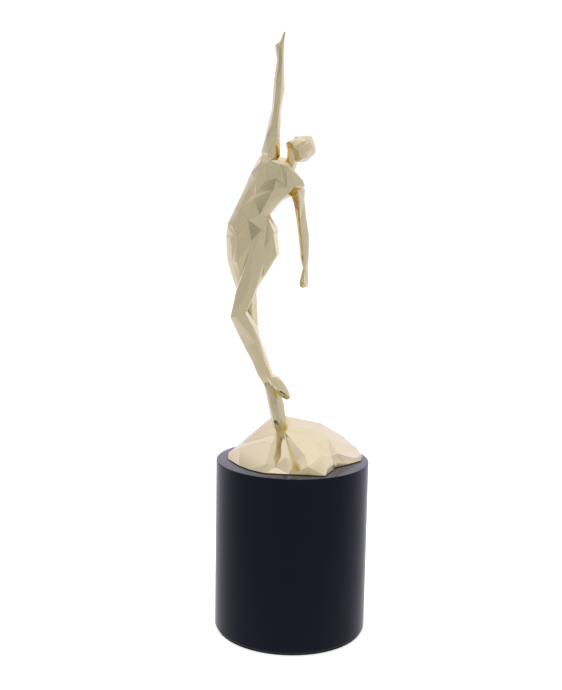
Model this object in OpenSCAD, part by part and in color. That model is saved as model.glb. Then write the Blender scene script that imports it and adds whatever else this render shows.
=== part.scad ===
// Faceted dancer statuette: hollow rock mound and pinned figure castings on a turned, lacquered plinth.
// The plinth axis is Z, the felt stands on z = 0, and the figure's chest faces -Y.

/* [Plinth] */
// Diameter of the turned plinth
plinth_d = 100; // [96:1:160]
// Height of the statuette's plinth, from the table to its top face
plinth_h = 114; // [60:1:180]
// Radius of the small eased edges of the plinth
plinth_edge = 0.8; // [0.3:0.1:2]
// Thickness of the felt under the plinth
felt_t = 2; // [1:0.5:4]
// Width of lacquered edge left bare around the felt
felt_margin = 1.5; // [0.5:0.5:5]

/* [Recess under the plinth] */
// Diameter of the recess in the plinth's underside
recess_d = 76; // [60:1:76]
// Width of the rim around the recess that carries the closing plate
plate_rim = 7; // [6.5:0.5:8]
// Thickness of the plate that closes the recess
plate_t = 3; // [2:0.5:5]
// Thickness of the iron ballast disc
ballast_t = 9; // [4:0.5:16]
// Gap around the ballast and the plate
recess_gap = 0.5; // [0.2:0.1:1]
// Diameter of the plate screws' heads
screw_head_d = 6; // [4:0.5:6.5]
// Height of the plate screws' heads
screw_head_t = 1.6; // [1:0.2:2]
// Diameter of the plate screws' shanks
screw_d = 3; // [2:0.5:4]
// Length of the plate screws under their heads
screw_l = 14; // [8:1:20]
// Number of plate screws
screw_count = 4; // [3:1:8]

/* [Tie rod] */
// Diameter of the tie rod
rod_d = 8; // [6:1:10]
// Clearance around the rod in the plinth, the pad and the ballast
rod_gap = 0.5; // [0.2:0.1:1]
// Depth of the rod's thread in the mound's boss
rod_grip = 9; // [6:1:12]
// Length of rod that stands below the nut
rod_tail = 2; // [1:0.5:4]
// Room between the end of the rod and the plate
tail_room = 1.5; // [1:0.5:4]
// Width of the tie nut across its flats
nut_flats = 13; // [12:1:17]
// Height of the tie nut
nut_t = 6.5; // [5:0.5:8]
// Diameter of the tie washer
washer_d = 24; // [18:1:30]
// Thickness of the tie washer
washer_t = 2; // [1:0.5:3]

/* [Rock mound] */
// Width of the mound from its left tip to its right tip
mound_w = 90; // [76:1:94]
// Height of the mound's summit above its underside
mound_h = 26; // [22:1:40]
// Thickness of the thin pad between mound and plinth
gasket_t = 0.6; // [0.4:0.2:2]
// How much smaller the pad's outline is than the mound's, as a share of it
gasket_inset = 0.06; // [0.02:0.01:0.1]
// Diameter of the hollow in the mound's underside at its mouth
core_d = 50; // [40:1:54]
// Diameter of the hollow at its roof
core_roof_d = 28; // [20:1:32]
// Height of the hollow in the mound
core_h = 7; // [4:0.5:8]
// Diameter of the boss that takes the tie rod
boss_d = 18; // [14:1:20]
// Diameter of the two pins that stop the mound turning
turn_pin_d = 4; // [3:0.5:5]
// Length of the two pins
turn_pin_l = 12; // [8:1:16]
// Distance between the two pins
turn_pin_span = 62; // [58:1:66]

/* [Figure] */
// Height of the figure from its ground line to the fingertip
figure_h = 246; // [200:1:320]
// Depth of the ground line below the mound's summit
foot_sink = 1; // [0:0.5:2]
// Diameter of the pin that fixes the standing foot to the mound
foot_pin_d = 3; // [2:0.5:3.5]
// Length of the foot pin
foot_pin_l = 20; // [14:1:24]
// Diameter of the dowel in the neck
neck_dowel_d = 2; // [1.5:0.5:2.5]
// Diameter of the dowels in the two shoulders
arm_dowel_d = 3; // [2:0.5:4]
// Diameter of the dowels in the two hips
hip_dowel_d = 5; // [3:0.5:6]

/* [Hidden] */
$fn = 96;
tiny = 0.01;

// Heights, worked out from the table upwards
plate_top = felt_t + plate_t;
rod_z = plate_top + tail_room;
nut_z = rod_z + rod_tail;
washer_z = nut_z + nut_t;
ballast_z = washer_z + washer_t;
recess_top = ballast_z + ballast_t;
mound_z = plinth_h + gasket_t;

plate_d = recess_d + 2 * plate_rim;
rod_hole_d = rod_d + 2 * rod_gap;

// The mound is drawn 90 wide and 26 high
mound_scale = [mound_w / 90, mound_w / 90, mound_h / 26];

// The figure is drawn 246 high, from a ground line under the standing foot
figure_scale = figure_h / 246;
foot_at = [-10 * mound_w / 90, 0, mound_z + mound_h - foot_sink];

function placed(p) = foot_at + figure_scale * p;

// Skins ------------------------------------------------------------------------------------------

function sum(v, i = 0) = i < len(v) ? v[i] + sum(v, i + 1) : 0;

// Two triangles between neighbouring columns of two rings, split along the shorter diagonal
function patch(pts, a, b, c, d) =
    norm(pts[a] - pts[c]) <= norm(pts[b] - pts[d]) ? [[a, b, c], [a, c, d]] : [[a, b, d], [b, c, d]];

// Six times the volume that a list of triangles encloses, negative if they face inwards
function volume(pts, tris) = sum([for (t = tris) pts[t[0]] * cross(pts[t[1]], pts[t[2]])]);

function reversed(f) = [for (i = [len(f) - 1:-1:0]) f[i]];

// A closed solid through rings that all have the same number of corners
module skin(rings) {
    n = len(rings[0]);
    last = len(rings) - 1;
    corners = [for (ring = rings) each ring];
    pts = concat(corners, [middle(rings[0]), middle(rings[last])]);
    foot = len(corners);
    walls = [for (r = [0:last - 1], i = [0:n - 1])
        each patch(pts, r * n + i, r * n + (i + 1) % n, (r + 1) * n + (i + 1) % n, (r + 1) * n + i)];
    ends = [for (i = [0:n - 1])
        each [[foot, (i + 1) % n, i], [foot + 1, last * n + i, last * n + (i + 1) % n]]];
    tris = concat(walls, ends);
    outward = volume(pts, tris) > 0;
    polyhedron(pts, [for (t = tris) outward ? reversed(t) : t]);
}

function middle(ring) = [for (i = [0:2]) sum([for (p = ring) p[i]]) / len(ring)];

// A skin in the figure's own drawing, set on the mound
module figure_skin(rings) skin([for (ring = rings) [for (p = ring) placed(p)]]);

// A solid given by its corners in the figure's own drawing and its facets
module faceted_shape(corners, facets)
    polyhedron([for (p = corners) placed(p)], [for (f = facets) reversed(f)]);

// A round pin from one point of the figure's drawing, along a direction, centred on the point
module pin(at, along, d, l) {
    unit = along / norm(along);
    translate(placed(at))
        rotate([0, acos(unit[2]), atan2(unit[1], unit[0])])
            cylinder(d = d, h = l, center = true, $fn = 32);
}

// Figure -----------------------------------------------------------------------------------------
// Each ring runs left, front, right, back, and is [x, y, z] from the ground line under the foot.

// Corners of the trunk
torso_corners = [
    [-14.5, 1, 170], [-13.8, -3.4, 168.5], [-9, -4.5, 172], [-6.3, -6.6, 169.5],          // 0 to 3 left shoulder
    [-3.5, -3.5, 169.5], [-2.3, -7, 167.3], [2.5, 1, 169], [3.5, -8, 165.8],          // 4 to 7 hollow of the neck
    [3, -9.7, 163.3], [7.3, -6.5, 161], [13, -4.5, 155], [14.3, -3, 151.5],           // 8 to 11 right shoulder
    [-13.8, -6.6, 165.6], [-9.8, -9, 164.5], [-7.8, -8.2, 167], [-1, -9.6, 164.3],  // 12 to 15 collar bones
    [-1.3, -10.3, 160], [-4, -11.2, 156], [-5, -10.9, 149.2], [-9.8, -11, 154],       // 16 to 19 breasts
    [-16, -8, 155], [-19.7, -2, 159.3], [-14.3, -6.5, 160.6], [-18, -7, 146],       // 20 to 23 left ribs
    [-21, -5, 148.3], [3, -10.3, 151.3], [8.6, -7.5, 151.7], [5, -8, 147.5],          // 24 and 25 to 27 right armpit
    [6, -1, 145.3], [-2.3, -9.3, 146], [-0.5, -6.5, 142.7], [-16.6, -10.6, 146.3],     // 28 to 30, 31 breastbone
    [-17, -10.2, 143.2], [-7.6, -6.6, 133.8], [-13.5, -11.4, 133.8], [-21, -8.6, 130],    // 32 to 35 belly and waist
    [-12, -9.9, 124], [-18.5, -10.2, 117], [-10, -8.9, 113], [-8.7, -8.7, 131.8],     // 36 to 39 groin
    [-4.6, -8.4, 122.3], [-1.7, 0.5, 123], [-34, -1, 127.2], [-35, 0, 119],          // 40 to 43 hips
    [-31, -4, 125.5], [-27.8, -6.5, 119.5], [-26.2, -5.5, 136], [-30.2, -1.8, 135.5],    // 44 to 47 left flank
    [-24.2, -1.5, 148.5], [0.3, 1.5, 142], [-7.2, 2, 133.2],                           // 48, 49 and 50 right flank
    [-8, 8, 170.5], [0, 7.5, 168.5], [8, 6.5, 162], [13, 5.5, 154.5],                 // 51 to 54 back of the shoulders
    [-16.5, 8, 161], [-1, 11, 157], [9, 6.5, 148.5],                                  // 55 to 57 shoulder blades
    [-22, 8, 149], [-8, 10.5, 147], [3, 5.5, 145],                                    // 58 to 60 back of the ribs
    [-27.5, 8, 136], [-17, 8, 134], [-9.5, 6.5, 134],                                 // 61 to 63 small of the back
    [-31, 11, 125], [-18, 10.5, 125], [-5, 10, 125],                                  // 64 to 66 top of the seat
    [-28, 11.8, 113], [-18, 10, 112], [-8.5, 10.6, 113],                                 // 67 to 69 seat
    [-29, 1, 110], [-20, -5, 109], [-13, -5, 109], [-6, 0, 111],                      // 70 to 76 inside the thighs
    [-8, 6, 109], [-18, 5, 108], [-27, 8, 109],
];

// Facets of the trunk, each anticlockwise seen from outside
torso_facets = [
    // left shoulder and hollow of the neck
    [1, 14, 2], [1, 2, 0], [12, 13, 14], [12, 14, 1], [14, 3, 2], [14, 5, 4], [14, 4, 3], [2, 3, 4],
    [5, 7, 6], [5, 6, 4], [15, 7, 5], [15, 8, 7], [14, 15, 5],
    // collar bones and right shoulder
    [13, 16, 14], [14, 16, 15], [15, 16, 25], [15, 25, 8], [8, 25, 26], [8, 26, 10], [8, 10, 9],
    [26, 11, 10], [25, 27, 26], [7, 8, 9], [7, 9, 6],
    // chest
    [12, 22, 13], [22, 19, 13], [13, 19, 16], [19, 17, 16], [19, 18, 17], [22, 20, 19], [17, 18, 25],
    [16, 17, 25], [20, 31, 19], [19, 31, 18], [20, 23, 31],
    // left ribs
    [0, 12, 1], [0, 21, 12], [21, 22, 12], [21, 20, 22], [21, 24, 20], [24, 23, 20],
    // right ribs
    [18, 29, 25], [25, 29, 27], [29, 30, 27], [30, 28, 27], [31, 32, 18], [32, 34, 18], [34, 29, 18],
    [34, 30, 29], [34, 33, 30], [23, 32, 31], [34, 39, 33],
    // belly and left flank
    [32, 35, 34], [35, 36, 34], [35, 37, 36], [34, 36, 39], [36, 38, 39], [39, 38, 40],
    [24, 46, 23], [23, 46, 32], [46, 35, 32], [46, 45, 35], [46, 44, 45], [35, 45, 37],
    [21, 48, 24], [24, 48, 46], [48, 47, 46], [46, 47, 44], [47, 42, 44], [44, 42, 45], [42, 43, 45],
    // right flank and hip
    [39, 40, 41], [39, 41, 33], [33, 41, 50], [33, 50, 30], [30, 50, 49], [30, 49, 28],
    // armpit
    [26, 27, 28], [26, 28, 11],
    // top of the shoulders
    [0, 2, 51], [2, 4, 51], [4, 6, 52], [4, 52, 51], [6, 9, 53], [6, 53, 52], [9, 10, 53], [10, 54, 53],
    [10, 11, 54], [11, 28, 57], [11, 57, 54],
    // back
    [51, 52, 56], [51, 56, 55], [52, 53, 56], [53, 54, 57], [53, 57, 56], [55, 56, 59], [55, 59, 58],
    [56, 57, 60], [56, 60, 59], [58, 59, 62], [58, 62, 61], [59, 60, 63], [59, 63, 62], [61, 62, 65],
    [61, 65, 64], [62, 63, 66], [62, 66, 65], [64, 65, 68], [64, 68, 67], [65, 66, 69], [65, 69, 68],
    // sides of the back
    [0, 51, 55], [0, 55, 21], [21, 55, 58], [21, 58, 48], [48, 58, 61], [48, 61, 47], [47, 61, 64],
    [47, 64, 42], [42, 64, 67], [42, 67, 43], [28, 49, 60], [28, 60, 57], [49, 50, 63], [49, 63, 60],
    [50, 41, 66], [50, 66, 63], [41, 69, 66],
    // underside, inside the thighs
    [43, 70, 45], [45, 70, 71], [45, 71, 37], [37, 71, 36], [36, 71, 72], [36, 72, 38], [38, 72, 73],
    [38, 73, 40], [40, 73, 41], [41, 73, 74], [41, 74, 69], [43, 67, 76], [43, 76, 70], [67, 68, 75],
    [67, 75, 76], [68, 69, 74], [68, 74, 75], [70, 76, 75], [70, 75, 71], [71, 75, 72], [72, 75, 74],
    [72, 74, 73],
];

module torso_shape() faceted_shape(torso_corners, torso_facets);

module head_shape() {
    union() {
        neck_shape();
        skull_shape();
    }
}

module neck_shape() figure_skin([
    [[2.5, 0, 157], [4, -4, 157], [7, -4, 156], [8.5, 0, 155], [7, 4, 157], [4, 4, 158]],
    [[2.7, 0, 164.5], [3.8, -3.8, 164], [6.3, -3.5, 162], [7.6, -0.5, 161.2], [7, 4, 162.5], [4, 4.5, 165]],
    [[2.6, -0.5, 169], [4, -4.5, 168.5], [7.5, -4, 167], [9.3, 0, 165.8], [8.5, 4.5, 167], [4.5, 4.8, 169]],
    [[3, -2, 175], [4.5, -5.5, 174.5], [8, -5, 173], [10.5, 0, 172], [9.5, 4, 173], [5, 3.5, 175]],
    [[4, -4, 177.5], [5, -6, 177], [8, -5, 176.5], [10, -1, 176], [9, 2, 176], [6, 1, 177]],
]);

// Half of each face ring, from the middle of the face round to the back, chin at 0 and crown at 21
face_rings = [
    [[0, -7.8, 0.3], [2, -7.4, 0.2], [4.2, -5, 1.5], [5, -1, 3.2], [3.5, 2.5, 4], [0, 4.5, 4]],
    [[0, -8.5, 2.6], [2.2, -8, 3], [4.8, -5.2, 3.6], [5.8, -0.5, 5], [4.2, 4, 5.5], [0, 6, 5.5]],
    [[0, -8.8, 4.8], [2, -8.3, 4.8], [5, -5.8, 5.5], [6, -0.5, 7], [4.6, 4, 7.5], [0, 6.5, 7.5]],
    [[0, -10, 7], [1.3, -8.6, 6.8], [5.2, -6.3, 7.5], [6, -1, 9], [5, 4, 9.5], [0, 7, 9.5]],
    [[0, -8.8, 10.8], [2.6, -7.8, 10.2], [5.5, -6, 10.5], [6, -1, 12], [5, 3.5, 12.5], [0, 7, 12.5]],
    [[0, -9.2, 12.6], [3, -8.6, 12.6], [5.8, -6, 13], [5.8, -1, 14.5], [5, 3.5, 15], [0, 6, 15]],
    [[0, -8.2, 16.8], [3, -7.6, 17], [4.8, -4.3, 17], [5, -0.5, 17], [4.2, 3, 17], [0, 5, 17]],
    [[0, -4.6, 18.5], [2, -4, 18.5], [3, -2.5, 18.5], [3.5, 0, 18.5], [3, 2.5, 18.5], [0, 4.5, 18.5]],
];
// Half of the hair's corners: hairline, temple, cheek, jaw, nape, back of the head, crown and side
hair_corners = [
    [2.8, -8.4, 17], [6.6, -5.2, 15], [6.4, -4.6, 8], [5.2, -3.2, 3], [4.2, 6, 2.6], [4.6, 9.2, 9],
    [0, 10, 10], [4.2, 7.6, 16.4], [3.4, 0.5, 20.6], [8, 1.5, 10.5],
];
head_middle = [12.5, 0, 173.5];
head_tilt = 75;
head_turn = 50;

// The other half of a ring, mirrored, joined on between nape and face
function whole_ring(half) = concat(half, [for (i = [len(half) - 2:-1:1]) [-half[i][0], half[i][1], half[i][2]]]);

module skull_shape()
    translate(placed(head_middle))
        rotate([-head_tilt, 0, -head_turn])
            scale(figure_scale)
                translate([0, 0, -10.5]) {
                    skin([for (half = face_rings) whole_ring(half)]);
                    hair_shape();
                }

module hair_shape() {
    corners = concat(hair_corners, [for (p = hair_corners) [-p[0], p[1], p[2]]]);
    hull()
        polyhedron(corners, [[0, 2, 1], [0, 1, 3], [0, 3, 2], [1, 2, 3]]);
}

// Rings run left outline, left ridge, right ridge, right outline and two corners behind.
module raised_arm_shape() figure_skin([
    [[-12, 1, 163], [-9, -5, 163], [-5, -4, 163], [-3.5, 0, 163], [-4.5, 7, 163], [-10.5, 6, 163]],
    [[-13.4, -2.5, 172], [-8.4, -8, 172], [-4.3, -7, 170.6], [-1.6, -3, 170.6], [-4, 6.5, 171.5], [-11, 6, 172]],
    [[-11, -1, 182.5], [-10.2, -3.6, 182.5], [-4.2, -5.2, 182], [-2, -2, 182], [-3.5, 5, 182], [-9, 5, 182.5]],
    [[-9, 0, 191.5], [-7.2, -3.6, 190], [-3.6, -4.4, 188], [-1.7, -1, 189], [-3, 4.5, 190], [-7, 4.5, 190]],
    [[-7.2, 0.5, 199.5], [-6, -3, 199], [-2.7, -3.6, 198], [-1.5, 0, 197.5], [-2.5, 4, 199], [-5.5, 4, 200]],
    [[-6.3, 0, 216], [-4.8, -2.8, 215], [-1.6, -3.2, 213], [0.4, 0, 211.5], [-0.5, 3.5, 213], [-4.5, 3.5, 215]],
    [[-4.6, 0, 229], [-3.2, -1.8, 229.5], [-1.2, -1.8, 229.5], [-0.3, 0, 230], [-1, 2.2, 230], [-3.5, 2.2, 229]],
    [[-6, -0.5, 237.5], [-4.4, -2.4, 236], [-1.6, -2, 236], [-0.2, 0, 236.5], [-1, 1.8, 237], [-4, 1.6, 238]],
    [[-3, -0.4, 240], [-2, -1.5, 240], [-0.8, -1.2, 240], [-0.2, 0, 240], [-0.8, 1, 240.2], [-2.4, 0.8, 240.2]],
    [[-0.5, -0.2, 245.7], [-0.2, -0.5, 245.5], [0.1, -0.5, 245.5], [0.4, -0.1, 245.8], [0.2, 0.4, 246],
     [-0.3, 0.3, 246]],
]);

module lowered_arm_shape() figure_skin([
    [[5, 0, 151], [8, -4, 152], [12, 0, 152], [11, 5, 152], [7, 6, 151]],
    [[5.7, 0, 145.5], [10, -6, 148.5], [14.5, 0, 149.5], [13, 5.5, 149], [8, 6, 147]],
    [[7.4, -1.4, 141.5], [10.6, -4.8, 142], [14.2, 0, 142.5], [12.5, 4.5, 142], [8.5, 4.5, 141.5]],
    [[9.4, -1.2, 131.5], [11.8, -3.8, 130], [16, 0, 129.5], [15, 4, 130], [11, 4, 131]],
    [[10.9, -1.4, 121], [13, -3.7, 120.5], [17.6, 0, 120.5], [16.5, 3.5, 121], [12.5, 3.5, 121]],
    [[12.4, -1.4, 108], [14.3, -3.4, 108], [17.7, 0, 108], [16.8, 3, 108], [13.2, 3, 108]],
    [[14.2, -0.8, 99.5], [15.4, -2.3, 99], [17.3, 0, 99.5], [16.7, 2, 99.5], [14.8, 2, 99.5]],
    [[12, -0.5, 90], [15, -3.5, 91], [18, 0, 90.5], [17, 2.5, 91], [13.5, 2.5, 91]],
    [[12.5, -0.5, 88], [14.5, -2, 87], [17.5, 0, 88], [16.5, 1.5, 87.5], [14, 1.5, 87]],
]);

module standing_leg_shape() figure_skin([
    // inside the pelvis
    [[-33.8, 0, 121], [-30.5, -3, 121], [-27.5, -5.8, 121], [-18.3, -9.6, 119], [-14, -3, 114],
     [-16, 7, 114], [-25, 11, 116]],
    [[-35.1, 0, 118.5], [-31.5, -3.4, 118.8], [-27.9, -6.6, 119], [-18.6, -10.2, 116.6], [-14, -3, 112],
     [-14, 9.6, 112.4], [-28.2, 12.1, 113.4]],
    // thigh
    [[-34, 0, 103.5], [-30.9, -3.7, 103.5], [-27.7, -7.2, 103.4], [-19.5, -8.6, 104], [-14, -2, 104],
     [-14, 10, 103], [-26, 13.2, 103]],
    [[-30.3, 0.5, 91], [-27.9, -2.9, 92], [-25.2, -6, 94], [-18, -6, 94], [-13.5, 1, 93], [-15, 9, 93],
     [-23, 12, 92]],
    [[-27.5, 1.5, 83], [-26, -0.8, 83], [-23.5, -4, 84], [-18, -3, 84], [-15.3, 3, 83], [-16, 9, 83], [-22, 11, 82]],
    // knee
    [[-25.5, 3, 71], [-24, -0.5, 70.5], [-22, -2, 70], [-18, -2, 70], [-14.5, 3.5, 71], [-16, 8.5, 71],
     [-21, 9.5, 70]],
    // calf
    [[-24, 3.5, 61], [-22.8, 1, 60.5], [-21, -0.5, 60], [-17, -0.5, 60], [-14, 4, 61], [-15, 8.5, 61],
     [-20, 9.5, 60]],
    [[-21, 3.5, 49], [-20, 1, 49], [-18.5, -0.5, 49], [-14.5, -0.5, 49], [-11.5, 3.5, 50], [-12.5, 8, 50],
     [-17, 9.5, 49]],
    [[-15.5, 2.5, 34], [-14.8, 0.5, 34], [-13.5, -1, 34], [-9.5, -1, 34], [-7.5, 2, 34], [-8.5, 6, 34],
     [-12, 7, 34]],
    // ankle and pointed foot
    [[-9.2, 0.5, 21.5], [-8.5, -1.5, 21], [-7.5, -3, 20.5], [-3.5, -3.5, 21], [-0.5, 0, 22], [-1.5, 4, 22],
     [-5.5, 5, 21.5]],
    [[-7, 0, 12], [-6.2, -2.5, 11], [-5, -4, 10], [-0.5, -4.5, 12], [3.7, -0.5, 11.5], [2.5, 3.5, 12],
     [-2.5, 4.5, 12]],
    [[-4.7, -0.8, 2], [-4, -3.4, 1.5], [-2.8, -5.6, 1], [1, -6.6, 2], [5.2, -2.5, 1.5], [4, 2.5, 2], [-1, 4, 3]],
    [[-1.5, -1, -8], [-1.2, -2.2, -8], [-0.4, -3.4, -8.5], [3, -4.2, -8], [5, -2.6, -7.5], [4, 1, -8],
     [0.5, 1.5, -8]],
    [[-1, -1, -12], [-0.6, -2, -12], [0, -3, -12], [2.5, -3.6, -12], [4.5, -2.2, -12], [3.5, 0.5, -12],
     [0.5, 1.5, -12]],
]);

module bent_leg_shape() {
    union() {
        bent_limb_shape();
        bent_foot_shape();
    }
}

module bent_limb_shape() figure_skin([
    // inside the pelvis
    [[-19.2, -8.6, 118], [-18.6, -10, 117.6], [-12.1, -9.7, 124.5], [-10, -8.7, 114.5], [-5, -7.8, 122.6],
     [-2.8, 0.5, 122.6], [-7.2, 9.6, 120.5], [-14, 4, 119]],
    // thigh
    [[-21, -7.5, 110], [-19.8, -10, 110.6], [-17, -11.8, 109.5], [-11.2, -10.2, 103], [-2.6, -5.5, 108],
     [-0.9, 0, 109], [-8.5, 11.8, 106], [-16, 5, 107]],
    [[-24.5, -8, 96], [-23.2, -10.8, 97], [-19.2, -12.8, 91.5], [-14.4, -11.2, 89.5], [-10.1, -7, 94.8],
     [-9, 0, 95.5], [-13, 8, 94], [-21, 1, 95]],
    [[-28, -8.5, 85.5], [-27.2, -11.3, 86.3], [-21.2, -13.6, 82.5], [-17, -12, 82], [-15.3, -8, 85.3],
     [-14.8, 0, 86], [-18, 5, 85], [-24, 0, 85]],
    // knee
    [[-31.4, -9, 68.5], [-31, -12, 68.3], [-27.3, -14.8, 69.3], [-21.6, -12.8, 71.5], [-20.6, -8, 72.3],
     [-20.1, -1, 73], [-22, 1, 70], [-28, -4, 68]],
    // shin
    [[-27, -4, 57.5], [-26.3, -6.5, 58], [-20.3, -12.8, 60.2], [-16.2, -10.5, 61.8], [-14.6, -6, 62],
     [-14.1, 0, 61.5], [-19, 1, 60], [-25, -1, 58]],
    [[-22.3, -3, 48], [-21.8, -4.5, 48.6], [-14.9, -10.2, 52.4], [-12.3, -7.5, 52.5], [-11.4, -3, 52.3],
     [-11.5, -1, 50], [-15, 0, 50], [-20, 0, 49]],
    [[-17.2, -2.5, 38.5], [-16.6, -4, 39], [-8.9, -8.6, 39.5], [-7.8, -6, 40.5], [-7.1, -2, 41],
     [-8, 0, 40], [-11, 0.5, 39], [-15.5, 0, 38.5]],
    // ankle
    [[-13.4, -2, 29.5], [-12.9, -3.5, 30], [-6.6, -7.5, 31], [-5, -6, 31.5], [-3.3, -2, 30.5], [-4, 0, 30],
     [-7, 0.5, 30], [-11.5, 0, 29.5]],
    [[-9.6, -2, 24.5], [-9.2, -3.5, 25], [-5.3, -7, 27], [-3.5, -6.5, 28], [-1, -3, 28], [-1, -1, 27],
     [-4, 0, 25], [-7.5, 0, 24.5]],
]);

// Rings from heel to toes: outer edge of the sole, inner edge, side of the foot, instep, underside
module bent_foot_shape() figure_skin([
    [[-8.3, -4.5, 28.5], [-7.3, -7.5, 30.5], [-6.5, -6, 31], [-4.5, -2.5, 31.5], [-5.5, -1.5, 27]],
    [[-5, -4, 22.8], [-3.7, -9.5, 25.6], [-1.5, -6.5, 29.5], [0.5, -3, 29.5], [-2, -1, 24]],
    [[-1.8, -4.6, 19.6], [0.8, -10.3, 22.5], [2.2, -6.5, 27], [4, -3.5, 25.5], [1, -2, 21]],
    [[1.5, -5.4, 16.6], [4.6, -10.6, 19.8], [5.5, -7, 22.5], [6.5, -4.5, 21], [4, -3, 17.5]],
    [[5.6, -7.4, 15.2], [7.6, -9.8, 17], [8.2, -8, 18], [8.5, -6.6, 17], [7, -6, 15.4]],
]);

// Dowels: middle, direction and size of each
module neck_dowel_shape() pin([5.7, 0, 162.5], [0.25, 0, 1], neck_dowel_d, 12);
module raised_shoulder_dowel_shape() pin([-8, 1, 170.5], [0.18, -0.05, 1], arm_dowel_d, 16);
module lowered_shoulder_dowel_shape() pin([9.8, 0.5, 147], [0.12, -0.05, -1], arm_dowel_d, 13);
module standing_hip_dowel_shape() pin([-25, 3, 106], [0.12, 0.06, -1], hip_dowel_d, 24);
module bent_hip_dowel_shape() pin([-10.5, 0, 106], [-0.3, -0.1, -1], hip_dowel_d, 22);
module foot_pin_shape() pin([1.8, -1.5, -7.5], [-0.05, 0, 1], foot_pin_d, foot_pin_l);

module torso() color("#d9c38a") {
    difference() {
        torso_shape();
        neck_dowel_shape();
        raised_shoulder_dowel_shape();
        lowered_shoulder_dowel_shape();
        standing_hip_dowel_shape();
        bent_hip_dowel_shape();
    }
}

module head() color("#d9c38a") {
    difference() {
        head_shape();
        torso_shape();
        neck_dowel_shape();
    }
}

module raised_arm() color("#d9c38a") {
    difference() {
        raised_arm_shape();
        torso_shape();
        raised_shoulder_dowel_shape();
    }
}

module lowered_arm() color("#d9c38a") {
    difference() {
        lowered_arm_shape();
        torso_shape();
        lowered_shoulder_dowel_shape();
    }
}

module standing_leg() color("#d9c38a") {
    difference() {
        standing_leg_shape();
        torso_shape();
        standing_hip_dowel_shape();
        bent_hip_dowel_shape();
        foot_pin_shape();
    }
}

module bent_leg() color("#d9c38a") {
    difference() {
        bent_leg_shape();
        torso_shape();
        standing_leg_shape();
        bent_hip_dowel_shape();
    }
}

module neck_dowel() color("#b08d3c") neck_dowel_shape();
module raised_shoulder_dowel() color("#b08d3c") raised_shoulder_dowel_shape();
module lowered_shoulder_dowel() color("#b08d3c") lowered_shoulder_dowel_shape();
module standing_hip_dowel() color("#b08d3c") standing_hip_dowel_shape();
module bent_hip_dowel() color("#b08d3c") bent_hip_dowel_shape();
module foot_pin() color("#b08d3c") foot_pin_shape();

// Rock mound -------------------------------------------------------------------------------------

// Outline of the mound's foot, from the left tip anticlockwise, seen from above
mound_outline = [
    [-43, 3], [-42, -6], [-34, -22], [-26, -32], [-17, -38.5], [-2, -40], [10, -41], [20.5, -42],
    [28, -21], [36, -13.5], [45, -3], [46.5, 8], [43, 20], [33, 33], [18, 41], [0, 43],
    [-18, 40], [-32, 31], [-41, 17],
];

// Corners of the rock above its outline
mound_corners = [
    [-42, -1, 3], [-34.5, -6, 7.5], [-33, 2, 8.5],          // 19 left tip, 20 left shoulder, 21 left crest
    [-16.5, -34, 4.5], [-10.5, -33, 2.5], [-13.5, -20, 14], // 22 and 23 foot of the front gully, 24 its lip
    [-18, -14, 14.5], [-10.5, -7, 18], [-5.5, -7, 19],      // 25 gully head, 26 and 27 front of the perch
    [-4.5, -31, 8.5], [1.5, -28, 4.5], [7.5, -29, 9.5],     // 28 and 30 front ledges, 29 hollow between them
    [0.5, -14, 15.5], [18, -28, 9], [10, -39, 4.5],         // 31 ledge head, 32 right ledge, 33 front toe
    [24.5, -24, 7.5], [29, -18, 8],                         // 34 and 35 lips of the right notch
    [0, -2, 22.5], [7, -8, 18], [10.5, -4, 20.5],           // 36, 37 and 38 crest right of the foot
    [22.5, -12, 16], [15.5, -16, 14],                       // 39 and 40 right slope
    [-15, 8, 25], [-5, 10, 26], [19, 14, 20.5],             // 41 and 42 summit, 43 right summit
    [43, 10, 5],                                            // 44 right tip
    [-26, 20, 13], [-6, 27, 17], [17, 29, 13], [33, 20, 11] // 45 to 48 back slope
];

// Facets of the rock, each anticlockwise seen from outside
mound_facets = [
    // left tip and left slope
    [0, 1, 19], [19, 1, 20], [19, 20, 21], [0, 19, 21], [18, 0, 21], [1, 2, 20], [2, 3, 20], [3, 22, 20],
    [3, 4, 22], [4, 23, 22], [4, 5, 23], [20, 22, 24], [20, 24, 25], [20, 25, 26], [21, 20, 26], [21, 26, 41],
    // front gully
    [22, 23, 24], [23, 26, 24], [25, 24, 26], [26, 23, 27], [27, 23, 28], [23, 5, 28],
    // perch of the foot
    [41, 26, 27], [41, 27, 42],
    // front ledge
    [27, 28, 29], [27, 29, 30], [27, 30, 31], [28, 5, 29], [5, 33, 29], [29, 33, 30], [5, 6, 33],
    [30, 33, 32], [33, 6, 7], [33, 7, 32], [32, 7, 34],
    // right notch and right tip
    [7, 8, 34], [34, 8, 35], [8, 9, 35], [35, 9, 10], [35, 10, 44], [10, 11, 44],
    // right slope
    [31, 30, 32], [31, 32, 40], [31, 40, 37], [27, 31, 37], [27, 37, 36], [27, 36, 42], [36, 37, 38],
    [37, 40, 38], [38, 40, 39], [40, 32, 34], [40, 34, 39], [39, 34, 35], [39, 35, 44], [39, 44, 43],
    [38, 39, 43], [36, 38, 43], [42, 36, 43],
    // back slope
    [44, 11, 12], [44, 12, 48], [12, 13, 48], [43, 44, 48], [43, 48, 47], [48, 13, 47], [13, 14, 47],
    [42, 43, 46], [43, 47, 46], [47, 14, 15], [47, 15, 46], [46, 15, 16], [46, 16, 45], [45, 16, 17],
    [45, 17, 18], [45, 18, 21], [41, 42, 46], [41, 46, 45], [41, 45, 21],
];

module rock_shape() {
    floor_face = [for (i = [0:len(mound_outline) - 1]) i];
    translate([0, 0, mound_z])
        scale(mound_scale)
            polyhedron(concat([for (p = mound_outline) [p[0], p[1], 0]], mound_corners),
                concat([floor_face], [for (f = mound_facets) reversed(f)]));
}

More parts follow.
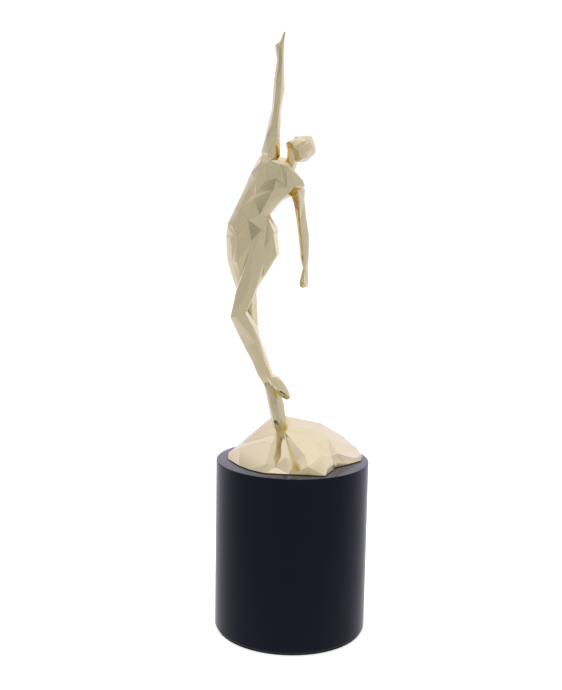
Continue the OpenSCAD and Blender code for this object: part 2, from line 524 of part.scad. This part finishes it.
// The hollow under the rock, with the boss for the rod left standing in it
module mound_core() {
    difference() {
        translate([0, 0, mound_z - tiny])
            cylinder(d1 = core_d, d2 = core_roof_d, h = core_h);
        translate([0, 0, mound_z - 1])
            cylinder(d = boss_d, h = core_h + 2);
    }
}

module rock_mound() color("#d9c38a") {
    difference() {
        rock_shape();
        mound_core();
        standing_leg_shape();
        foot_pin_shape();
        translate([0, 0, mound_z - 1])
            cylinder(d = rod_d, h = rod_grip + 1);
        turn_pins_shape();
    }
}

module mound_gasket() color("#1c1a18") {
    difference() {
        translate([0, 0, plinth_h])
            linear_extrude(gasket_t)
                scale(mound_w / 90 * (1 - gasket_inset))
                    polygon(mound_outline);
        translate([0, 0, plinth_h - 1])
            cylinder(d = rod_hole_d, h = gasket_t + 2);
        turn_pins_shape();
    }
}

module turn_pins_shape() {
    for (side = [-1, 1])
        translate([side * turn_pin_span / 2, 4, plinth_h + gasket_t / 2 - turn_pin_l * 2 / 3])
            cylinder(d = turn_pin_d, h = turn_pin_l, $fn = 32);
}

module anti_turn_pins() color("#a8a8a4") turn_pins_shape();

// Plinth -----------------------------------------------------------------------------------------

module plinth_body() color("#0c0d12") {
    r = plinth_d / 2;
    difference() {
        rotate_extrude()
            polygon([[0, felt_t], [r - plinth_edge, felt_t], [r, felt_t + plinth_edge],
                [r, plinth_h - plinth_edge], [r - plinth_edge, plinth_h], [0, plinth_h]]);
        translate([0, 0, felt_t - 1])
            cylinder(d = plate_d + 2 * recess_gap, h = plate_t + 1);
        translate([0, 0, felt_t - 1])
            cylinder(d = recess_d, h = recess_top - felt_t + 1);
        cylinder(d = rod_hole_d, h = plinth_h + 1);
        turn_pins_shape();
        screws_shape();
    }
}

module tie_rod() color("#a8a8a4")
    translate([0, 0, rod_z])
        cylinder(d = rod_d, h = mound_z + rod_grip - rod_z);

module tie_nut() color("#a8a8a4")
    translate([0, 0, nut_z])
        difference() {
            cylinder(d = nut_flats / cos(30), h = nut_t, $fn = 6);
            translate([0, 0, -1])
                cylinder(d = rod_d, h = nut_t + 2);
        }

module tie_washer() color("#a8a8a4")
    translate([0, 0, washer_z])
        difference() {
            cylinder(d = washer_d, h = washer_t);
            translate([0, 0, -1])
                cylinder(d = rod_hole_d, h = washer_t + 2);
        }

module ballast_disc() color("#55575a")
    translate([0, 0, ballast_z])
        difference() {
            cylinder(d = recess_d - 2 * recess_gap, h = ballast_t);
            translate([0, 0, -1])
                cylinder(d = rod_hole_d, h = ballast_t + 2);
        }

module bottom_plate() color("#2a2a2c") {
    difference() {
        translate([0, 0, felt_t])
            cylinder(d = plate_d, h = plate_t);
        screws_shape();
    }
}

// Countersunk screws with their heads flush in the plate, evenly spaced in its rim
module screws_shape() {
    for (i = [0:screw_count - 1])
        rotate([0, 0, 45 + i * 360 / screw_count])
            translate([(recess_d + plate_rim) / 2, 0, felt_t])
                rotate_extrude($fn = 32)
                    polygon([[0, 0], [screw_head_d / 2, 0], [screw_d / 2, screw_head_t],
                        [screw_d / 2, screw_l], [0, screw_l + screw_d / 2]]);
}

module plate_screws() color("#a8a8a4") screws_shape();

module felt_pad() color("#1f3b2a")
    cylinder(d = plinth_d - 2 * felt_margin, h = felt_t);

torso();
head();
raised_arm();
lowered_arm();
standing_leg();
bent_leg();
neck_dowel();
raised_shoulder_dowel();
lowered_shoulder_dowel();
standing_hip_dowel();
bent_hip_dowel();
foot_pin();
rock_mound();
mound_gasket();
anti_turn_pins();
plinth_body();
tie_rod();
tie_washer();
tie_nut();
ballast_disc();
bottom_plate();
plate_screws();
felt_pad();
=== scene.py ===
import bmesh
import bpy
import numpy as np
from mathutils import Matrix, Vector


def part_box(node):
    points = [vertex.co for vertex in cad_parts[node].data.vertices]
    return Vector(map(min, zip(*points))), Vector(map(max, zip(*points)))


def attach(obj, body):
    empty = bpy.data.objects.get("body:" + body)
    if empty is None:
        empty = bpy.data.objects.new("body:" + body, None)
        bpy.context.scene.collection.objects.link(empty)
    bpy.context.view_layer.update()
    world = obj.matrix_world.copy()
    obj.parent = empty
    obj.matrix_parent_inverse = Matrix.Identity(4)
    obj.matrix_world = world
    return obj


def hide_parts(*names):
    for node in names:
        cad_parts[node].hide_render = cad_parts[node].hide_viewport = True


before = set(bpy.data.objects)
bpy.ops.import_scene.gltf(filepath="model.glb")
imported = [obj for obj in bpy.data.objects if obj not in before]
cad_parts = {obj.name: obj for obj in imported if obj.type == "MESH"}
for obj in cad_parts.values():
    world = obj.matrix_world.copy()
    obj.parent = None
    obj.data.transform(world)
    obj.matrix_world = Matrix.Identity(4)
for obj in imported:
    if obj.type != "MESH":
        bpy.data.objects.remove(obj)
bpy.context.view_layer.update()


# Studio ------------------------------------------------------------------------------------------
# A white sweep of light goes round the back and sides of the statuette, and the room on the
# camera's side is a dim grey, so that polished facets turned to the lens stay darker than the rest.

def look_from(place, pitch, yaw, roll):
    """The camera's matrix: forward is (sin yaw cos pitch, cos yaw cos pitch, -sin pitch), and roll
    turns right and up about it."""
    forward = np.array([np.sin(yaw) * np.cos(pitch), np.cos(yaw) * np.cos(pitch), -np.sin(pitch)])
    level = np.array([np.cos(yaw), -np.sin(yaw), 0.0])
    upright = np.cross(level, forward)
    right = level * np.cos(roll) + upright * np.sin(roll)
    up = upright * np.cos(roll) - level * np.sin(roll)
    turned = np.eye(4)
    turned[:3, 0], turned[:3, 1], turned[:3, 2], turned[:3, 3] = right, up, -forward, place
    return Matrix(turned.tolist())


def new_camera():
    """A 53 mm lens about 65 cm in front of the plinth's axis, level with the dancer's ribs and
    tipped down a little."""
    lens = bpy.data.cameras.new("camera")
    lens.lens = 52.6
    lens.sensor_width = 36
    place = (0, -0.6455, 0.2839)
    pitch, yaw, roll = np.radians([8.33, -0.79, 1.047])
    camera = bpy.data.objects.new("camera", lens)
    camera.matrix_world = look_from(place, pitch, yaw, roll)
    bpy.context.scene.collection.objects.link(camera)
    bpy.context.scene.camera = camera


def new_node(tree, kind, inputs=(), **settings):
    """One shader node with its settings and unlinked inputs filled in."""
    made = tree.nodes.new(kind)
    for key, value in settings.items():
        setattr(made, key, value)
    for key, value in dict(inputs).items():
        made.inputs[key].default_value = value
    return made


def ramp(tree, source, stops):
    """A straight-line colour ramp from a value, with stops of (position, (r, g, b))."""
    made = tree.nodes.new("ShaderNodeValToRGB")
    steps = made.color_ramp.elements
    while len(steps) < len(stops):
        steps.new(0.5)
    for step, (place, colour) in zip(steps, stops):
        step.position = place
        step.color = (*colour, 1)
    tree.links.new(source, made.inputs["Fac"])
    return made.outputs["Color"]


def new_room():
    """The light from each direction is a product of three soft ramps: dim round the lens, brighter
    to the right, overhead and behind. The camera itself sees plain white behind the statuette.
    A Mix node's colours are its inputs 6 and 7 and its output 2."""
    room_level = 1.45
    backdrop_level = 1.05
    world = bpy.data.worlds.new("studio")
    bpy.context.scene.world = world
    world.use_nodes = True
    tree = world.node_tree
    tree.nodes.clear()
    link = tree.links.new
    where = new_node(tree, "ShaderNodeTexCoord")
    parts = new_node(tree, "ShaderNodeSeparateXYZ")
    link(where.outputs["Generated"], parts.inputs[0])
    ramps = {
        "Y": [(0.0, (0.34, 0.35, 0.33)), (0.012, (0.46, 0.46, 0.45)), (0.035, (0.57, 0.57, 0.56)),
              (0.25, (0.61, 0.60, 0.60)), (0.55, (0.69, 0.67, 0.73)), (0.85, (1.02, 0.99, 1.13))],
        "X": [(0.0, (0.88, 0.88, 0.88)), (0.5, (0.94, 0.94, 0.94)), (1.0, (1.0, 1.0, 1.0))],
        "Z": [(0.5, (0.70, 0.70, 0.695)), (0.8, (0.715, 0.72, 0.71)), (0.93, (0.80, 0.82, 0.78)),
              (1.0, (1.0, 1.03, 0.97))],
    }
    total = None
    for axis, stops in ramps.items():
        share = new_node(tree, "ShaderNodeMapRange", {"From Min": -1.0, "From Max": 1.0})
        link(parts.outputs[axis], share.inputs["Value"])
        colour = ramp(tree, share.outputs["Result"], stops)
        if total is not None:
            both = new_node(tree, "ShaderNodeMix", {"Factor": 1.0},
                data_type="RGBA", blend_type="MULTIPLY")
            link(total, both.inputs[6])
            link(colour, both.inputs[7])
            colour = both.outputs[2]
        total = colour
    room = new_node(tree, "ShaderNodeBackground", {"Strength": room_level})
    link(total, room.inputs["Color"])
    plain = new_node(tree, "ShaderNodeBackground", {"Color": (1, 1, 1, 1), "Strength": backdrop_level})
    ray = new_node(tree, "ShaderNodeLightPath")
    seen = new_node(tree, "ShaderNodeMixShader")
    out = new_node(tree, "ShaderNodeOutputWorld")
    link(ray.outputs["Is Camera Ray"], seen.inputs["Fac"])
    link(room.outputs[0], seen.inputs[1])
    link(plain.outputs[0], seen.inputs[2])
    link(seen.outputs[0], out.inputs[0])


def softbox(name, place, aim, size, power):
    """A square area light that points at the aim, of even light that polished faces don't mirror."""
    light = bpy.data.lights.new(name, "AREA")
    light.shape = "SQUARE"
    light.size = size
    light.energy = power
    held = bpy.data.objects.new(name, light)
    held.location = place
    held.rotation_euler = (Vector(aim) - Vector(place)).to_track_quat("-Z", "Y").to_euler()
    held.visible_glossy = False
    bpy.context.scene.collection.objects.link(held)


def new_material(name, **sockets):
    """A material with one principled shader whose plain sockets are set directly."""
    made = bpy.data.materials.new(name)
    made.use_nodes = True
    shader = made.node_tree.nodes["Principled BSDF"]
    for key, value in sockets.items():
        shader.inputs[key.replace("_", " ")].default_value = value
    return made, made.node_tree, shader


def new_floor():
    """A white table top. Straight on it blows out to white, and in reflections it is a soft grey that
    grows lighter away from the camera."""
    reach = 3.0
    corners = [(-reach, -reach, 0), (reach, -reach, 0), (reach, reach, 0), (-reach, reach, 0)]
    mesh = bpy.data.meshes.new("floor")
    mesh.from_pydata(corners, [], [(0, 1, 2, 3)])
    floor = bpy.data.objects.new("floor", mesh)
    bpy.context.scene.collection.objects.link(floor)
    white, tree, shader = new_material("white_sweep", Base_Color=(0.93, 0.93, 0.93, 1), Roughness=0.9,
        Emission_Color=(1, 1, 1, 1), Emission_Strength=0.6)
    link = tree.links.new
    where = new_node(tree, "ShaderNodeTexCoord")
    parts = new_node(tree, "ShaderNodeSeparateXYZ")
    depth = new_node(tree, "ShaderNodeMapRange", {"From Min": -0.4, "From Max": 0.4})
    link(where.outputs["Object"], parts.inputs[0])
    link(parts.outputs["Y"], depth.inputs["Value"])
    mirrored = new_node(tree, "ShaderNodeEmission")
    grey = ramp(tree, depth.outputs["Result"], [(0.3, (0.60, 0.60, 0.59)), (0.8, (0.90, 0.88, 1.0))])
    link(grey, mirrored.inputs["Color"])
    ray = new_node(tree, "ShaderNodeLightPath")
    either = new_node(tree, "ShaderNodeMixShader")
    link(ray.outputs["Is Glossy Ray"], either.inputs["Fac"])
    link(shader.outputs[0], either.inputs[1])
    link(mirrored.outputs[0], either.inputs[2])
    link(either.outputs[0], tree.nodes["Material Output"].inputs["Surface"])
    mesh.materials.append(white)


new_camera()
new_room()
softbox("back_box", (0.0, 0.9, 0.9), (0, 0, 0.2), 1.0, 3)
softbox("top_box", (0.0, 0.1, 1.3), (0, 0, 0.1), 1.0, 4)
new_floor()
bpy.context.scene.view_settings.view_transform = "Standard"


# Plinth ------------------------------------------------------------------------------------------
# A cylinder turned from dense board, drilled for the tie rod and recessed underneath for the iron
# ballast. It is sprayed with black lacquer, rubbed flat and polished to a deep gloss.

mm = 0.001


def put_on_body(name, verts, faces, material):
    """A smooth mesh piece at the origin that rides on the statuette."""
    mesh = bpy.data.meshes.new(name)
    mesh.from_pydata(verts, [], faces)
    mesh.materials.append(material)
    mesh.shade_smooth()
    piece = bpy.data.objects.new(name, mesh)
    bpy.context.scene.collection.objects.link(piece)
    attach(piece, "root")
    return piece


def turned(name, profile, material, steps=256):
    """A closed solid of revolution. Row i, column j is (r_i cos a_j, r_i sin a_j, z_i), where the
    profile's points (r_i, z_i) run round the section with the solid on their left."""
    r, z = np.array(profile, float).T
    a = np.linspace(0, 2 * np.pi, steps, endpoint=False)
    grid = np.stack([np.outer(r, np.cos(a)), np.outer(r, np.sin(a)), np.repeat(z[:, None], steps, 1)], -1)
    rows, cols = np.meshgrid(np.arange(len(r)), np.arange(steps), indexing="ij")
    after = (rows + 1) % len(r)
    beside = (cols + 1) % steps
    quads = np.stack([rows * steps + cols, rows * steps + beside,
                      after * steps + beside, after * steps + cols], -1)
    return put_on_body(name, grid.reshape(-1, 3).tolist(), quads.reshape(-1, 4).tolist(), material)


def rounded(corner, radius, start, steps=8):
    """A quarter turn of an edge: points at radius round the corner's centre, from the start angle."""
    a = start + np.linspace(0, np.pi / 2, steps + 1)
    return np.stack([corner[0] + radius * np.cos(a), corner[1] + radius * np.sin(a)], -1).tolist()


def black_lacquer():
    """Deep black polish, a slow ripple left by the rubbing, and a painted sheen that lightens what faces
    up.
    """
    made, tree, shader = new_material("black_lacquer", Base_Color=(0.001, 0.0014, 0.0075, 1),
        Specular_IOR_Level=0.2, Specular_Tint=(0.88, 0.88, 1.0, 1),
        Sheen_Roughness=0.3, Sheen_Tint=(0.82, 0.80, 1.0, 1))
    link = tree.links.new
    where = new_node(tree, "ShaderNodeTexCoord")
    haze = new_node(tree, "ShaderNodeTexNoise", {"Scale": 28.0, "Detail": 4.0, "Roughness": 0.6})
    link(where.outputs["Object"], haze.inputs["Vector"])
    gloss = new_node(tree, "ShaderNodeMapRange", {"To Min": 0.035, "To Max": 0.075})
    link(haze.outputs["Fac"], gloss.inputs["Value"])
    link(gloss.outputs["Result"], shader.inputs["Roughness"])
    ripple = new_node(tree, "ShaderNodeTexNoise", {"Scale": 60.0, "Detail": 2.0})
    link(where.outputs["Object"], ripple.inputs["Vector"])
    bump = new_node(tree, "ShaderNodeBump", {"Strength": 0.012, "Distance": 0.001})
    link(ripple.outputs["Fac"], bump.inputs["Height"])
    link(bump.outputs["Normal"], shader.inputs["Normal"])
    # Painted sheen: a sheen laid only on the up-facing faces, so the top looks lighter at a low view.
    facing = new_node(tree, "ShaderNodeSeparateXYZ")
    link(where.outputs["Normal"], facing.inputs["Vector"])
    painted_top_sheen = new_node(tree, "ShaderNodeMapRange", {"From Min": 0.3, "To Max": 0.9})
    link(facing.outputs["Z"], painted_top_sheen.inputs["Value"])
    link(painted_top_sheen.outputs["Result"], shader.inputs["Sheen Weight"])
    return made


def new_plinth():
    """The plinth's section: outer wall with rounded edges, rod bore, recess and the plate's seat."""
    low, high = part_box("plinth_body")
    rod_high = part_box("tie_rod")[1]
    plate_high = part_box("bottom_plate")[1]
    ballast_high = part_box("ballast_disc")[1]
    edge = 0.8 * mm
    clearance = 0.5 * mm
    wall = high.x
    bore = rod_high.x + clearance
    seat = plate_high.x + clearance
    recess = ballast_high.x + clearance
    section = [
        *rounded((wall - edge, low.z + edge), edge, -np.pi / 2),
        *rounded((wall - edge, high.z - edge), edge, 0),
        [bore, high.z], [bore, ballast_high.z], [recess, ballast_high.z],
        [recess, plate_high.z], [seat, plate_high.z], [seat, low.z],
    ]
    plinth = turned("turned_plinth", section, black_lacquer())
    split = plinth.modifiers.new("edges", "EDGE_SPLIT")
    split.split_angle = np.radians(40)
    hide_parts("plinth_body")


new_plinth()


# Casting -----------------------------------------------------------------------------------------
# The dancer and the rock are brass castings with flat facets, linished and polished until they
# mirror the room, then plated pale gold. The edges between facets keep a hair-thin round.

def polished_gold():
    """Pale gold plate with the polishing wheel's slow waves and a cloudy gloss, and a deeper gold painted
    into the hollows and creases as painted shade and reflection, where the gold faces mirror each
    other. A Mix node's colours are its inputs 6 and 7 and its output 2."""
    made, tree, shader = new_material("polished_gold", Metallic=1.0)
    link = tree.links.new
    where = new_node(tree, "ShaderNodeTexCoord")
    cloud = new_node(tree, "ShaderNodeTexNoise", {"Scale": 45.0, "Detail": 5.0, "Roughness": 0.6})
    link(where.outputs["Object"], cloud.inputs["Vector"])
    plate = ramp(tree, cloud.outputs["Fac"], [(0.3, (0.80, 0.705, 0.485)), (0.7, (0.82, 0.715, 0.465))])
    # Painted shade and reflection: ambient occlusion mixes a deeper gold into hollows and creases, in
    # place of the gold faces reflecting each other there.
    hollow = new_node(tree, "ShaderNodeAmbientOcclusion", {"Distance": 12 * mm}, samples=12)
    openness = ramp(tree, hollow.outputs["AO"], [(0.35, (0.0, 0.0, 0.0)), (0.80, (1.0, 1.0, 1.0))])
    painted_crease_gold = new_node(tree, "ShaderNodeMix", {6: (0.80, 0.60, 0.20, 1)}, data_type="RGBA")
    link(openness, painted_crease_gold.inputs["Factor"])
    link(plate, painted_crease_gold.inputs[7])
    link(painted_crease_gold.outputs[2], shader.inputs["Base Color"])
    gloss = new_node(tree, "ShaderNodeMapRange", {"To Min": 0.09, "To Max": 0.19})
    link(cloud.outputs["Fac"], gloss.inputs["Value"])
    link(gloss.outputs["Result"], shader.inputs["Roughness"])
    wave = new_node(tree, "ShaderNodeTexNoise", {"Scale": 120.0, "Detail": 2.0})
    link(where.outputs["Object"], wave.inputs["Vector"])
    bump = new_node(tree, "ShaderNodeBump", {"Strength": 0.10, "Distance": 0.001})
    link(wave.outputs["Fac"], bump.inputs["Height"])
    link(bump.outputs["Normal"], shader.inputs["Normal"])
    return made


def edge_gold():
    """The hair-thin rounds between facets: a duller, browner gold, so each facet edge shows as a darker
    line.
    """
    made, tree, shader = new_material("edge_gold", Metallic=1.0, Roughness=0.28)
    where = new_node(tree, "ShaderNodeTexCoord")
    cloud = new_node(tree, "ShaderNodeTexNoise", {"Scale": 90.0, "Detail": 4.0})
    tree.links.new(where.outputs["Object"], cloud.inputs["Vector"])
    tone = ramp(tree, cloud.outputs["Fac"], [(0.35, (0.42, 0.34, 0.19)), (0.65, (0.66, 0.57, 0.38))])
    tree.links.new(tone, shader.inputs["Base Color"])
    return made


def polished_casting(node, material, edge_material, edge):
    """A merged copy of a CAD casting whose sharp edges are rounded and whose nearly flat joins
    shade as one facet."""
    weld = 0.002 * mm
    same_facet = np.radians(0.6)
    sharp = np.radians(4)
    work = bmesh.new()
    work.from_mesh(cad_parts[node].data)
    bmesh.ops.remove_doubles(work, verts=work.verts, dist=weld)
    bmesh.ops.dissolve_limit(work, angle_limit=same_facet, verts=work.verts, edges=work.edges)
    mesh = bpy.data.meshes.new("cast_" + node)
    work.to_mesh(mesh)
    work.free()
    mesh.materials.clear()
    mesh.materials.append(material)
    mesh.materials.append(edge_material)
    piece = bpy.data.objects.new("cast_" + node, mesh)
    bpy.context.scene.collection.objects.link(piece)
    mesh.shade_smooth()
    bevel = piece.modifiers.new("edge", "BEVEL")
    bevel.width = edge
    bevel.segments = 2
    bevel.limit_method = "ANGLE"
    bevel.angle_limit = sharp
    bevel.use_clamp_overlap = True
    bevel.harden_normals = True
    bevel.material = 1
    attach(piece, "root")
    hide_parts(node)


gold = polished_gold()
dull_gold = edge_gold()
edge_round = 0.22 * mm
for casting in ("rock_mound", "torso", "head", "raised_arm", "lowered_arm", "standing_leg", "bent_leg"):
    polished_casting(casting, gold, dull_gold, edge_round)


# Hidden fittings ---------------------------------------------------------------------------------
# Brass dowels hold the limbs, steel pins and a tie rod hold the rock on its rubber gasket, and an
# iron disc, a board plate and black felt close the plinth underneath. The gasket's black edge also
# stands as a painted shadow line where the rock meets the plinth.

def plain_finish(name, colour, metal, rough, grain):
    """A workshop finish: colour and roughness wander with a fine noise."""
    made, tree, shader = new_material(name, Metallic=metal)
    link = tree.links.new
    where = new_node(tree, "ShaderNodeTexCoord")
    noise = new_node(tree, "ShaderNodeTexNoise", {"Scale": grain, "Detail": 6.0, "Roughness": 0.65})
    link(where.outputs["Object"], noise.inputs["Vector"])
    dark = tuple(0.75 * c for c in colour)
    link(ramp(tree, noise.outputs["Fac"], [(0.3, dark), (0.7, colour)]), shader.inputs["Base Color"])
    spread = new_node(tree, "ShaderNodeMapRange", {"To Min": rough * 0.8, "To Max": rough * 1.2})
    link(noise.outputs["Fac"], spread.inputs["Value"])
    link(spread.outputs["Result"], shader.inputs["Roughness"])
    bump = new_node(tree, "ShaderNodeBump", {"Strength": 0.3, "Distance": 0.0002})
    link(noise.outputs["Fac"], bump.inputs["Height"])
    link(bump.outputs["Normal"], shader.inputs["Normal"])
    return made


finishes = {
    "brass_rod": (plain_finish("drawn_brass", (0.72, 0.55, 0.25), 1.0, 0.3, 300.0),
        ["neck_dowel", "raised_shoulder_dowel", "lowered_shoulder_dowel", "standing_hip_dowel",
         "bent_hip_dowel", "foot_pin"]),
    "steel": (plain_finish("zinc_steel", (0.62, 0.62, 0.60), 1.0, 0.35, 250.0),
        ["anti_turn_pins", "tie_rod", "tie_washer", "tie_nut", "plate_screws"]),
    # Painted shadow: the gasket's black edge under the rock also serves as the dark contact shadow line
    # there.
    "rubber": (plain_finish("black_rubber", (0.012, 0.011, 0.010), 0.0, 0.55, 400.0), ["mound_gasket"]),
    "iron": (plain_finish("grey_iron", (0.10, 0.10, 0.11), 0.8, 0.5, 200.0), ["ballast_disc"]),
    "board": (plain_finish("dark_board", (0.03, 0.022, 0.018), 0.0, 0.6, 150.0), ["bottom_plate"]),
    "felt": (plain_finish("black_felt", (0.02, 0.02, 0.022), 0.0, 0.95, 1200.0), ["felt_pad"]),
}
for finish, nodes in finishes.values():
    for name in nodes:
        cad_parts[name].data.materials.clear()
        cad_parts[name].data.materials.append(finish)
